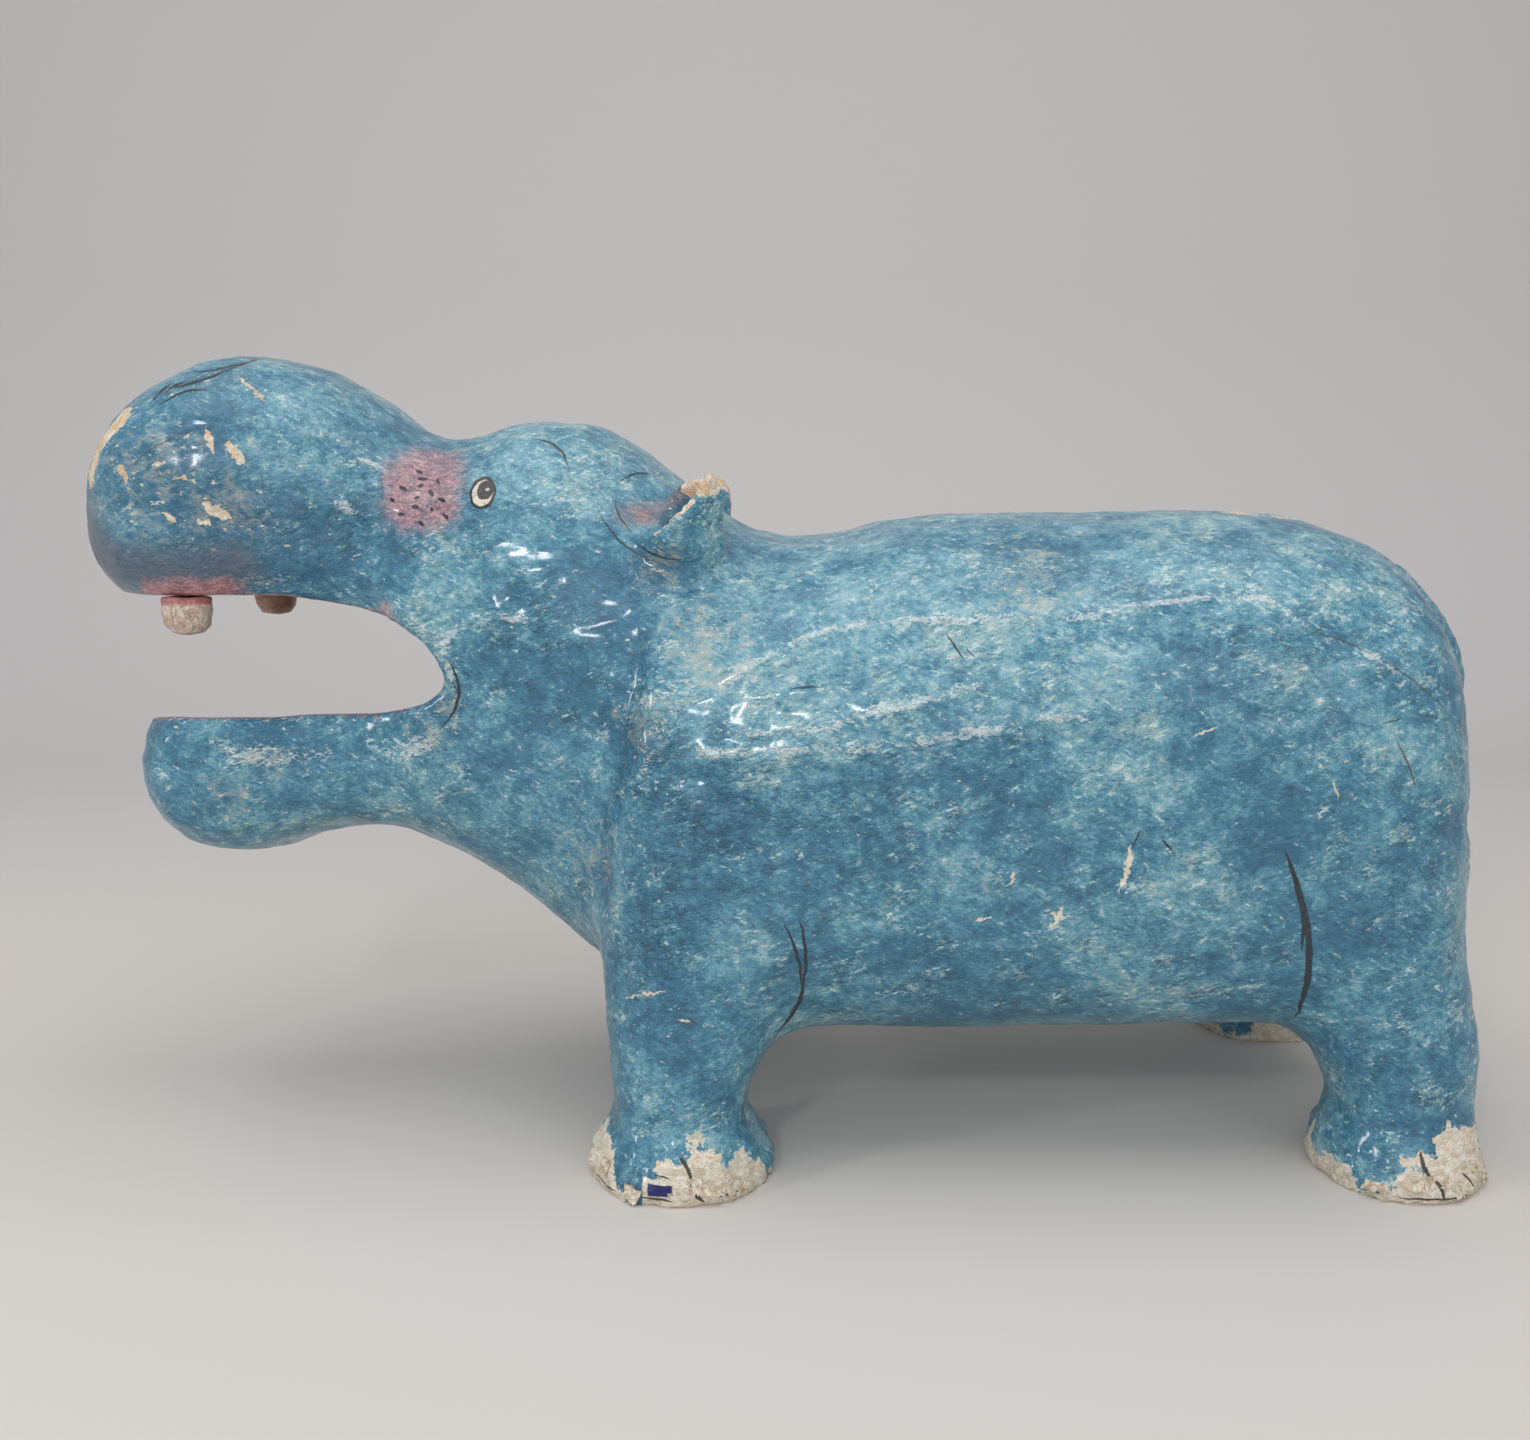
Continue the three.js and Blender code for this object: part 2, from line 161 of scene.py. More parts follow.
def trail(points, places, width, mirrored=True):
    """A soft line through (x, y, z) places on the left side, with its mirror image on the right."""
    seen = points.copy()
    if mirrored:
        seen[:, 1] = -np.abs(seen[:, 1])
    nearest = np.full(len(points), 1e9)
    for start, end in zip(places[:-1], places[1:]):
        start, along = np.array(start, float), np.subtract(end, start).astype(float)
        share = np.clip(((seen - start) @ along) / (along @ along), 0, 1)
        nearest = np.minimum(nearest, np.linalg.norm(seen - start - share[:, None] * along, axis=1))
    return np.exp(-(nearest / width) ** 2)


def distance_to(points, place):
    """How far the points are from a place on the right side or from its mirror image."""
    seen = points.copy()
    seen[:, 1] = np.abs(seen[:, 1])
    return np.linalg.norm(seen - place, axis=1)


def lumps(points, size, seed, stretch=(1, 1, 1), depth=1):
    """Smooth bumps of about the given size in millimetres, from -1 to 1."""
    shift = Vector((seed * 17.3, seed * 5.1, seed * 11.7))
    scaled = points / (np.array(stretch) * size)
    return np.array([noise.fractal(Vector(p) + shift, 0.9, 2.1, depth) for p in scaled.tolist()])

# %% [markdown]
# ## A fine skin over the faceted solid
# The solid has flat facets a finger's width across. Its copy is remeshed into even squares of nearly
# three millimetres and then relaxed, which melts the facets and keeps the size. A subdivision
# surface would be shorter to write, but the thin triangles along the lips would pinch it.

# %% Remesh the body
SKIN_STEP = 2.8   # millimetres between the points of the skin


def remeshed(node, name, step):
    """A new piece with the shape of a solid, in even squares."""
    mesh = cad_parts[node].data.copy()
    mesh.materials.clear()
    piece = bpy.data.objects.new(name, mesh)
    bpy.context.scene.collection.objects.link(piece)
    fine = piece.modifiers.new("fine", "REMESH")
    fine.mode = "VOXEL"
    fine.voxel_size = step * MM
    evaluated = piece.evaluated_get(bpy.context.evaluated_depsgraph_get())
    result = bpy.data.meshes.new_from_object(evaluated)
    piece.modifiers.clear()
    piece.data = result
    result.name = name
    bpy.data.meshes.remove(mesh)
    return piece


skin = remeshed("hippo", "painted_skin", SKIN_STEP)
skin_edges = edges_of(skin.data)
print("the skin has", len(skin.data.vertices), "points")

# %% [markdown]
# ## Melt the facets
# The lips and the soles keep their edges, so they are relaxed less than the rest. The crease where an
# ear grows out of the head is relaxed more, because there the facets are coarse. An ear's front rim
# sinks into the head, so it is melted away by plain smoothing, which is allowed to shrink it.

# %% Relax the skin
BODY_ROUNDS, EAR_ROUNDS, MELT_ROUNDS, MELT_SHARE = 20, 11, 54, 0.6
EAR_ROOT, EAR_FRONT, EAR_TIP = (-54, 64, 284), (-73, 60, 285), (-42, 68, 302)

points = points_of(skin.data)
x, y, z = points.T
side = np.abs(y)
in_mouth = soft_step(-128, -140, x) * soft_step(172, 178, z) * soft_step(262, 254, z)
at_sole = soft_step(5, 2, z)
near_ear = soft_step(52, 34, distance_to(points, EAR_ROOT))
ear_front = soft_step(24, 9, distance_to(points, EAR_FRONT))
points = relax(points, skin_edges, BODY_ROUNDS, (1 - 0.86 * in_mouth) * (1 - at_sole))
points = relax(points, skin_edges, EAR_ROUNDS, near_ear)
for _ in range(MELT_ROUNDS):
    points = points + MELT_SHARE * ear_front[:, None] * (around(skin_edges, points) - points)
points[:, 2] = np.maximum(points[:, 2], 0)
put_points(skin.data, points)
x, y, z = points.T
side = np.abs(y)
print("relaxed; the skin is now", np.round(points.max(0) - points.min(0), 1), "mm")

# %% [markdown]
# ## Where the paper stands proud
# Strips of wet newspaper leave long low ridges where they overlap, and the hand leaves dents. The
# ridges run along the flank and the cheek. They catch the light, so their places matter more than
# their height, which is about a millimetre. Finer wrinkles crowd where the paper was pushed round the
# cheeks, the ears and the shoulders. A dent's four values are its x, its z, its reach and its depth, and
# a wrinkled spot's are its x, its z, its reach and its strength.

# %% Dent and ridge the skin
RIDGE_WIDTH, FOLD_WIDTH, CREASE_WIDTH = 3.4, 3.6, 6
RIDGE_HEIGHT, FOLD_HEIGHT, CREASE_DEPTH = 1.25, 1.1, 1.6
FLANK_RIDGES = [
    [(-66, -97, 207), (-33, -102, 212), (-21, -99, 222), (9, -95, 235), (27, -96, 238)],
    [(27, -96, 238), (56, -99, 240), (92, -100, 241), (112, -101, 241), (133, -98, 245), (162, -97, 249),
     (190, -98, 247), (206, -105, 237), (226, -107, 229), (240, -107, 220)],
    [(-21, -109, 195), (8, -111, 197), (32, -111, 205), (49, -111, 209), (71, -110, 214)],
    [(-40, -108, 188), (-22, -110, 188), (32, -113, 190), (62, -114, 195), (88, -114, 200),
     (101, -114, 203), (116, -115, 201)],
    [(-188, -58, 306), (-168, -58, 298), (-150, -60, 289)],
    [(-197, -64, 288), (-180, -67, 278), (-157, -69, 264)],
    [(-151, -73, 230), (-135, -77, 242), (-113, -79, 239)],
    [(-119, -72, 262), (-108, -76, 250), (-96, -80, 255)],
]
NECK_CREASE = [(-66, -88, 232), (-69, -95, 207), (-72, -98, 183), (-82, -92, 155), (-83, -91, 121)]
LIP_FOLD = [(-152, -72, 226), (-147, -73, 214), (-145, -74, 203), (-149, -73, 194), (-156, -72, 188)]
DENTS = [(-30, 158, 30, 1.6), (190, 250, 40, -1.2), (150, 120, 46, 1.0), (-84, 238, 40, -1.4),
         (-228, 300, 40, 1.0), (40, 130, 44, -0.8), (232, 110, 36, 1.2), (-62, 62, 24, -1.2)]
WRINKLED = [(-150, 292, 44, 0.9), (-185, 290, 40, 0.7), (-60, 190, 40, 0.7), (-40, 160, 50, 1.0),
            (-58, 110, 40, 1.0), (-20, 175, 50, 1.0), (20, 165, 40, 0.9), (-34, 246, 30, 0.8),
            (-84, 292, 30, 0.7), (198, 220, 34, 0.8), (-120, 240, 30, 0.7), (-150, 210, 30, 0.6),
            (150, 240, 60, 0.4), (262, 130, 60, 0.6), (-210, 316, 40, 0.4)]

wrinkled = np.full(len(points), 0.25)
for at_x, at_z, reach, amount in WRINKLED:
    wrinkled = np.maximum(wrinkled, amount * blob(points, at_x, at_z, reach))
height = 1.5 * lumps(points, 58, 1, depth=2) + 0.55 * lumps(points, 21, 2, depth=2)
creased = 1 - np.abs(lumps(points, 17, 3, (1.9, 1, 0.8), depth=3)) * 2.4
height += (0.25 + 0.75 * wrinkled) * np.clip(creased, -1, 1)
crumpled = 1 - np.abs(lumps(points, 8, 5, (1.2, 1, 1), depth=2)) * 2.6
height += 0.55 * wrinkled * np.clip(crumpled, -1, 1)
broken = 0.65 + 0.6 * lumps(points, 9, 4, (2.2, 1, 1), depth=2)
ridge = np.zeros(len(points))
for places in FLANK_RIDGES:
    ridge = np.maximum(ridge, trail(points, places, RIDGE_WIDTH))
height += RIDGE_HEIGHT * ridge * np.clip(broken, 0.1, 1.4)
fold = trail(points, LIP_FOLD, FOLD_WIDTH)
neck = trail(points, NECK_CREASE, CREASE_WIDTH)
behind_neck = trail(points, [(px + 9, py - 3, pz) for px, py, pz in NECK_CREASE], CREASE_WIDTH)
height += FOLD_HEIGHT * fold - CREASE_DEPTH * neck + behind_neck
for at_x, at_z, reach, amount in DENTS:
    height -= amount * blob(points, at_x, at_z, reach) * soft_step(60, 80, side)
at_foot = soft_step(24, 10, z)
height += at_foot * (0.7 * np.clip(lumps(points, 7, 6, depth=2) * 2.5, -1, 1) - 0.3)
height *= (1 - 0.75 * in_mouth) * soft_step(0, 4, z)
points = points + normals_of(skin.data) * height[:, None]

# %% [markdown]
# ## Inside the box
# A ridge may not stand outside the solid's box, so a point beyond it is put back on its face, and the
# soles stay flat on the floor.

# %% Press the skin into its box
CLEARANCE = 0.15   # millimetres
low = np.array(solid_box[0]) / MM + CLEARANCE
high = np.array(solid_box[1]) / MM - CLEARANCE
low[2] = 0
points = np.clip(points, low, high)
put_points(skin.data, points)
x, y, z = points.T
side = np.abs(y)
print(f"highest ridge {height.max():.2f} mm, deepest dent {-height.min():.2f} mm")

# %% [markdown]
# ## Fields for the paint
# Each field is stored on the skin under a name, and the material reads it by that name. That keeps
# the material short: it only has to break the soft fields up into ragged edges.
#
# `tone` is how pale the blue is, partly painted light: paler over the back's top and darker along the
# neck's crease. `rub` is where ridges are worn pale, partly real wear and partly painted highlight on
# the varnish's crinkles. `crease` is how deep a hollow is, and the blue is a little darker there.
# `bare` is where the paint has come off, `blush` is the pink, `slate` the greyed violet along the
# snout's front, `grimy` the stains, and `wrinkled` how crumpled the paper is. A patch's three values
# are its x, its z and its reach.

# %% Paint fields
DEEPEN, LIGHTEN = 0.75, 0.7
# Partly painted light and shade: besides the paint's own blotches, pale patches crowd on the tops of the
# back, head and snout, and deep ones on the neck, the low flank and the front leg.
DEEP_PATCHES = [
    (83, 169, 30), (98, 136, 40), (188, 153, 26), (173, 178, 30), (221, 170, 26), (226, 136, 30),
    (68, 181, 26), (-35, 158, 26), (24, 90, 40), (69, 79, 34), (182, 85, 34), (-101, 225, 64),
    (-84, 198, 44), (-141, 178, 26), (-66, 113, 26), (-24, 127, 30), (-49, 139, 34), (-250, 297, 40),
    (-264, 272, 36), (-201, 264, 40), (-135, 230, 30), (-212, 276, 44), (-245, 176, 30),
    (-206, 180, 40), (-41, 59, 24), (244, 49, 26), (-45, 168, 30), (-58, 67, 24), (234, 107, 30),
    (153, 233, 30), (-162, 272, 30), (-60, 262, 30), (-72, 240, 30), (30, 150, 30), (-60, 95, 30),
]
LIGHT_PATCHES = [
    (34, 258, 34), (168, 258, 34), (117, 165, 30), (140, 117, 40), (78, 127, 26), (110, 204, 44),
    (81, 241, 30), (-103, 298, 40), (-136, 205, 24), (-16, 240, 44), (-33, 212, 30), (-103, 153, 40),
    (-67, 49, 24), (-195, 246, 24), (-153, 238, 26), (-212, 318, 44), (244, 233, 30), (-242, 158, 24),
    (-226, 141, 30), (121, 233, 26), (0, 193, 40), (-66, 207, 30), (-41, 232, 30), (-20, 100, 30),
    (60, 215, 40), (240, 190, 30), (-130, 315, 40), (20, 220, 30), (0, 70, 24), (-160, 250, 22),
]
SPINE_BARE = [(198, -22, 283), (222, -26, 281), (244, -24, 274)]
SNOUT_BARE = [(-288, -64, 324), (-295, -64, 312), (-300, -62, 300)]
EAR_RIM = [(-60, -74, 276), (-55, -77, 280), (-49, -78, 285), (-44, -76, 289)]
GUM = [(-275, -66, 251), (-262, -68, 253), (-246, -67, 251)]
GRIMY = [(-160, 190, 24), (-236, 174, 20), (-250, 160, 20), (-40, 228, 40), (-66, 196, 24), (-152, 205, 20),
         (95, 258, 34), (-268, 300, 50), (-240, 282, 40), (-60, 262, 24), (-90, 140, 30)]
LOWER_LIP_RUB = [(-250, -62, 178), (-200, -66, 178), (-172, -68, 180), (-156, -70, 188)]
LIP_RUB = [(-238, -66, 256), (-214, -68, 253), (-190, -69, 247), (-168, -70, 238), (-152, -71, 226)]
NECK_RUB = [(-50, -102, 214), (-56, -103, 195), (-66, -101, 178)]
EAR_HOLLOW = [(-74, -60, 280), (-62, -60, 286), (-50, -61, 295)]
VIOLET_RIM = [(-300, -50, 268), (-276, -70, 262), (-240, -69, 262)]
FOOT_WEAR = [   # x, how much higher the wear reaches, and how wide
    (-84, 22, 8), (-42, 23, 13), (-57, 12, 7), (-22, 10, 7), (284, 23, 12), (268, 21, 9),
    (252, 12, 8), (230, 10, 7),
]

normal = normals_of(skin.data)
# A hollow bends up and a ridge bends down. The step is taken out, so that a finer skin bends the same.
smoothed = around(skin_edges, around(skin_edges, points))
bend = np.einsum("ij,ij->i", smoothed - points, normal) * 6 / SKIN_STEP ** 2
for _ in range(2):
    bend = around(skin_edges, bend[:, None])[:, 0]

tone = np.zeros(len(points))
for at_x, at_z, reach in DEEP_PATCHES:
    tone -= DEEPEN * blob(points, at_x, at_z, reach)
for at_x, at_z, reach in LIGHT_PATCHES:
    tone += LIGHTEN * blob(points, at_x, at_z, reach)
# Painted light: the top of the back is made paler, as light from above makes it.
tone += 0.3 * soft_step(225, 275, z) * soft_step(-20, 20, x)
# The noise is the paint's own mottling; the neck term is painted shade along the neck's crease.
tone += 1.3 * lumps(points, 26, 12, (1.3, 1, 1), depth=4) - 0.7 * neck
tone = np.clip(tone, -1.5, 1.5)

# Partly painted highlight: convex places and ridges are made pale, both as worn paint and as the light they
# catch.
rub = (np.clip(-bend * 5 - 0.1, 0, 1) * 0.4 + 0.74 * ridge ** 3 * np.clip(broken, 0, 1.3)
       + 0.2 * ridge ** 0.4 + 0.5 * fold)
rub = np.maximum.reduce([rub, 0.6 * trail(points, LIP_RUB, 7), 0.6 * trail(points, NECK_RUB, 9),
                         0.8 * trail(points, LOWER_LIP_RUB, 6.5)])
grimy = np.zeros(len(points))
for at_x, at_z, reach in GRIMY:
    grimy = np.maximum(grimy, blob(points, at_x, at_z, reach))
# The blue is made a little darker where the skin bends inward, in the hollows.
crease = np.clip(bend * 7, 0, 1)

ragged = lumps(points, 9, 7, depth=3)
worn_up_to = 3 + 9 * lumps(points, 13, 8, depth=3)
for at_x, rise, reach in FOOT_WEAR:
    worn_up_to += rise * np.exp(-((x - at_x) / reach) ** 2)
bare = soft_step(11, -17, z - worn_up_to)
bare = np.maximum(bare, trail(points, SPINE_BARE, 5, mirrored=False) * 0.7)
bare = np.maximum(bare, trail(points, SNOUT_BARE, 6.5, mirrored=False) * 1.1)
bare = np.maximum(bare, soft_step(19, 9, distance_to(points, EAR_TIP)))
bare = np.maximum(bare, 0.9 * trail(points, EAR_RIM, 1.7))
bare = np.clip(bare + 0.16 * ragged * (bare > 0.02), 0, 1)

cheek = soft_step(1.3, 0.5, (np.abs((x + 161) / 21) ** 3 + np.abs((z - 294) / 22) ** 3) ** (1 / 3))
cheek *= soft_step(20, 34, side)
gum = trail(points, GUM, 10.5) * soft_step(266, 250, z)
facing_in = soft_step(0.66, 0.88, normal[:, 2] * np.sign(216 - z))
inside = soft_step(-128, -150, x) * soft_step(150, 158, z) * soft_step(262, 256, z) * facing_in
back_wall = soft_step(-0.2, -0.6, normal[:, 0]) * soft_step(174, 184, z) * soft_step(262, 254, z)
inside = np.maximum(inside, back_wall * soft_step(-215, -190, x) * soft_step(70, 62, side))
ear_inside = trail(points, EAR_HOLLOW, 8.5)
grimy = np.maximum(grimy, 1.5 * ear_inside)
blush = np.clip(np.maximum.reduce([0.72 * cheek, 0.95 * gum, 0.6 * inside, 0.5 * ear_inside]), 0, 1)
slate = np.clip(0.75 * soft_step(-276, -306, x) * soft_step(230, 250, z) * soft_step(330, 262, z)
                + trail(points, VIOLET_RIM, 13) + 0.75 * ear_inside, 0, 1)

for name, values in {"tone": tone, "rub": rub, "crease": crease, "bare": bare, "blush": blush,
                     "slate": slate, "grimy": grimy, "wrinkled": wrinkled}.items():
    layer = skin.data.attributes.new(name, "FLOAT", "POINT")
    layer.data.foreach_set("value", values.astype(np.float32))
    print(f"{name:10s} from {values.min():.2f} to {values.max():.2f}")

# %% [markdown]
# ## Writing shader maths as Python
# A material is a graph of small nodes. Written out one by one, a single sum takes four lines, so a
# wire stands for what comes out of a node and can be added and multiplied like a number. Every other
# kind of node comes from one method, `make`.

# %% The wire and the material book
class Wire:
    """What comes out of a node, with Python's operators for the maths of plain values."""

    def __init__(self, book, socket):
        self.book, self.socket = book, socket

    def maths(self, operation, *values):
        return self.book.make("ShaderNodeMath", {"operation": operation}, dict(enumerate(values)))

    def __add__(self, other): return self.maths("ADD", self, other)
    def __radd__(self, other): return self.maths("ADD", other, self)
    def __sub__(self, other): return self.maths("SUBTRACT", self, other)
    def __rsub__(self, other): return self.maths("SUBTRACT", other, self)
    def __mul__(self, other): return self.maths("MULTIPLY", self, other)
    def __rmul__(self, other): return self.maths("MULTIPLY", other, self)
    def __abs__(self): return self.maths("ABSOLUTE", self)

    def most(self, other): return self.maths("MAXIMUM", self, other)
    def least(self, other): return self.maths("MINIMUM", self, other)

    def step(self, low, high):
        """0 at low, 1 at high, smooth between and level outside."""
        return self.book.make("ShaderNodeMapRange", {"interpolation_type": "SMOOTHSTEP"},
                              {"Value": self, "From Min": low, "From Max": high})


class Book:
    """One material and its nodes."""

    def __init__(self, name):
        self.material = bpy.data.materials.new(name)
        self.material.use_nodes = True
        self.nodes, self.links = self.material.node_tree.nodes, self.material.node_tree.links
        self.nodes.clear()
        metres = self.make("ShaderNodeTexCoord", {}, {}, "Object")
        self.place = self.vector("MULTIPLY", metres, (1 / MM,) * 3)
        self.surface = self.nodes.new("ShaderNodeBsdfPrincipled")
        self.links.new(self.surface.outputs[0], self.nodes.new("ShaderNodeOutputMaterial").inputs[0])

    def make(self, kind, settings, sockets, output=0):
        """Adds a node: its settings first, then the values or wires of its sockets."""
        node = self.nodes.new(kind)
        for name, value in settings.items():
            if name == "stops":
                while len(node.color_ramp.elements) < len(value):
                    node.color_ramp.elements.new(0.5)
                for stop, (position, colour) in zip(node.color_ramp.elements, value):
                    stop.position, stop.color = position, colour
            else:
                setattr(node, name, value)
        for name, value in sockets.items():
            if isinstance(value, Wire):
                self.links.new(value.socket, node.inputs[name])
            else:
                node.inputs[name].default_value = value
        return Wire(self, node.outputs[output])

    def vector(self, operation, first, second=(0, 0, 0)):
        """One step of vector maths."""
        output = "Value" if operation in ("DOT_PRODUCT", "LENGTH") else "Vector"
        return self.make("ShaderNodeVectorMath", {"operation": operation}, {0: first, 1: second}, output)

    def mix(self, share, under, over):
        """One colour over another by a share."""
        return self.make("ShaderNodeMix", {"data_type": "RGBA"}, {0: share, 6: under, 7: over}, 2)

    def part(self, axis, of=None):
        """One part of a place, in millimetres. Without a place it is the surface's own."""
        return self.make("ShaderNodeSeparateXYZ", {}, {0: of or self.place}, axis)

    def field(self, name):
        """A field stored on the mesh."""
        return self.make("ShaderNodeAttribute", {"attribute_name": name}, {}, "Fac")

    def noise(self, size, stretch=(1, 1, 1), detail=3.0, rough=0.55, twist=0.0, seed=0.0, turn=0):
        """Cloudy noise from 0 to 1, of about a size in millimetres. turn tilts its stretch, in degrees."""
        place = self.place
        if turn:
            place = self.make("ShaderNodeVectorRotate", {"rotation_type": "Y_AXIS"},
                              {"Vector": place, "Angle": math.radians(turn)})
        scaled = self.vector("DIVIDE", place, tuple(size * s for s in stretch))
        moved = self.vector("ADD", scaled, (seed * 3.1, seed * 7.7, seed * 1.9))
        return self.make("ShaderNodeTexNoise", {}, {"Vector": moved, "Scale": 1.0, "Detail": detail,
                                                    "Roughness": rough, "Distortion": twist})

    def bump(self, height, reach):
        """Turns a height of 0 to 1 into a slope; reach is its real height in millimetres."""
        return self.make("ShaderNodeBump", {}, {"Height": height, "Distance": reach * MM, "Strength": 1.0})

    def finish(self, sockets):
        """Sets the surface's sockets and gives the material back."""
        for name, value in sockets.items():
            if isinstance(value, Wire):
                self.links.new(value.socket, self.surface.inputs[name])
            else:
                self.surface.inputs[name].default_value = value
        print(self.material.name, "has", len(self.nodes), "nodes")
        return self.material


def paint(red, green, blue):
    """A paint colour given as a painter's chart gives it, from 0 to 255, turned into light."""
    shares = [c / 255 for c in (red, green, blue)]
    return (*[s / 12.92 if s <= 0.04045 else ((s + 0.055) / 1.055) ** 2.4 for s in shares], 1.0)

# %% [markdown]
# ## Brush strokes
# The painter drew the eye, the nostrils, the whisker roots and the folds of the legs with a fine
# brush. They are paint and have no height, so they are drawn in the material: a stroke is the set of
# places whose distance from a bowed line is less than half the brush's width. The line is bowed
# sideways and thins to nothing at both ends, as a stroke does.

# %% Stroke helpers
SOFT_EDGE = 0.25   # millimetres over which a stroke's edge fades


def stroke(book, at, start, end, bow, width):
    """A stroke between two (x, z) places, bowed to its left by bow and width thick at its middle."""
    length = math.dist(start, end)
    along = ((end[0] - start[0]) / length, (end[1] - start[1]) / length)
    ahead = book.vector("DOT_PRODUCT", at, (along[0] / length, 0, along[1] / length))
    share = ahead - (start[0] * along[0] + start[1] * along[1]) / length
    aside = book.vector("DOT_PRODUCT", at, (-along[1], 0, along[0]))
    off = aside - (start[1] * along[0] - start[0] * along[1])
    swell = share * (1 - share) * 4
    reach = swell.maths("POWER", swell.most(0), 0.6) * (width / 2)
    return (reach - abs(off - swell * bow)) * (1 / SOFT_EDGE)


def strokes(book, at, rows):
    """All the strokes of a list as one mask from 0 to 1."""
    mask = None
    for start, end, bow, width in rows:
        one = stroke(book, at, start, end, bow, width)
        mask = one if mask is None else mask.most(one)
    return mask.least(1).most(0)

# %% [markdown]
# ## Where the strokes go
# The whisker roots are short dabs, each tilted its own way. The other lines are written down one by
# one. A line's four values are its start, its end, its bow and its width, all in millimetres. The same
# four values give the dark cracks in the paint and the chips that show the paste.

# %% The strokes of the head, the flank and the feet
FACE_LINES = [
    ((-117, 316), (-99, 301), 4.2, 1.3),                                           # over the brow
    ((-86, 286), (-58, 262), -4.2, 1.0), ((-79, 290), (-70, 275), -1.8, 1.1),      # round the ear
    ((-70, 272), (-48, 264), -2.4, 1.1), ((-80, 294), (-62, 300), 3.0, 0.9),
    ((-77, 297), (-66, 301), 1.5, 0.7),
    ((-151, 223), (-155, 191), 7.6, 1.7), ((-149, 213), (-147, 199), 2.2, 1.0),    # corner of the mouth
    ((-243, 346), (-270, 336), 2.0, 1.9), ((-240, 352), (-246, 345), 1.0, 1.6),    # nostril
    ((-269, 338), (-273, 330), -1.2, 2.0), ((-262, 339), (-270, 333), -1.0, 1.8),
    ((-250, 335), (-269, 328), -2.6, 1.7), ((-236, 353), (-262, 344), 3.0, 1.4),
]
WHISKERS = [(-165, 301), (-163, 298), (-156, 297), (-163, 295), (-170, 294), (-158, 292), (-164, 290),
            (-174, 289), (-153, 289), (-164, 286), (-157, 285), (-170, 283), (-151, 282), (-161, 279)]
WHISKER_WIDTH = 1.8
for i, (at_x, at_z) in enumerate(WHISKERS):
    tilt = math.radians(-24 + 34 * math.sin(i * 2.4))
    half = 1.6 + 0.5 * math.sin(i * 1.7)
    ahead, up = half * math.cos(tilt), half * math.sin(tilt)
    FACE_LINES.append(((at_x - ahead, at_z - up), (at_x + ahead, at_z + up), 0.0, WHISKER_WIDTH))
FACE_CRACKS = [((-280, 301), (-246, 319), 3.0, 0.9), ((-246, 319), (-224, 318), 1.0, 0.6)]
FACE_CHIPS = [
    ((-248, 319), (-244, 308), 0.0, 3.4), ((-240, 313), (-232, 303), 0.8, 4.4),
    ((-284, 304), (-280, 296), 0.5, 3.4), ((-266, 284), (-260, 280), 0.0, 2.6),
    ((-249, 288), (-238, 281), -0.6, 5.0), ((-252, 281), (-246, 279), 0.0, 2.6),
    ((-241, 342), (-226, 330), 0.4, 1.3), ((-261, 297), (-254, 298), 0.4, 1.6),
    ((-269, 303), (-263, 305), 0.0, 1.4),
]
FLANK_LINES = [
    ((-7, 118), (1, 84), 2.4, 1.6), ((0, 119), (1, 84), 2.2, 1.8), ((2, 92), (-10, 62), 3.6, 2.2),
    ((196, 150), (212, 96), 1.6, 2.8), ((204, 133), (213, 68), 2.4, 3.0),
    ((203, 134), (207, 104), 1.0, 1.8), ((-4, 213), (9, 214), 0.4, 1.0),
    ((59, 236), (67, 224), 0.0, 1.0), ((67, 230), (71, 226), 0.0, 0.8),
    ((135, 149), (138, 157), 0.3, 1.0), ((146, 153), (151, 148), 0.2, 1.3),
    ((233, 200), (243, 202), 0.3, 0.7), ((238, 150), (250, 152), 0.4, 0.6),
]
FOOT_LINES = [
    ((-50, 20), (-44, 10), 1.0, 1.9), ((-45, 11), (-39, 2), -0.6, 2.3),
    ((-66, 4), (-52, 3), 0.4, 1.5), ((-60, 13), (-53, 12), 0.5, 1.0),
    ((-88, 3), (-76, 2), 0.3, 1.1), ((259, 21), (262, 11), -1.2, 2.2),
    ((262, 12), (267, 2), 0.8, 2.1), ((246, 3), (282, 2), 0.4, 1.4), ((-34, 4), (-22, 3), 0.3, 1.3),
    ((276, 12), (283, 4), 0.6, 1.2),
]
FOOT_SCRAP = (-57.5, 7.6)   # the middle of a scrap of printed paper, where the near front foot is torn
FLANK_CRACKS = [
    ((203, 237), (233, 226), 1.5, 0.9), ((233, 226), (266, 200), 2.0, 0.9),
    ((245, 204), (260, 201), 0.4, 0.9), ((238, 196), (249, 172), 1.0, 1.2),
]
FLANK_CHIPS = [
    ((134, 151), (130, 131), 0.9, 2.6), ((87, 140), (86, 133), 0.3, 1.8),
    ((107, 126), (103, 115), 0.8, 2.6), ((102, 122), (110, 119), 0.0, 2.4),
    ((-73, 82), (-55, 88), 0.6, 1.3), ((-50, 76), (-45, 75), 0.0, 1.8),
    ((72, 118), (80, 120), 0.3, 1.2), ((158, 195), (168, 200), 0.4, 1.4),
    ((214, 178), (216, 170), 0.0, 1.3),
]
print(len(FACE_LINES), "lines on the head and", len(FLANK_LINES), "on the flank")

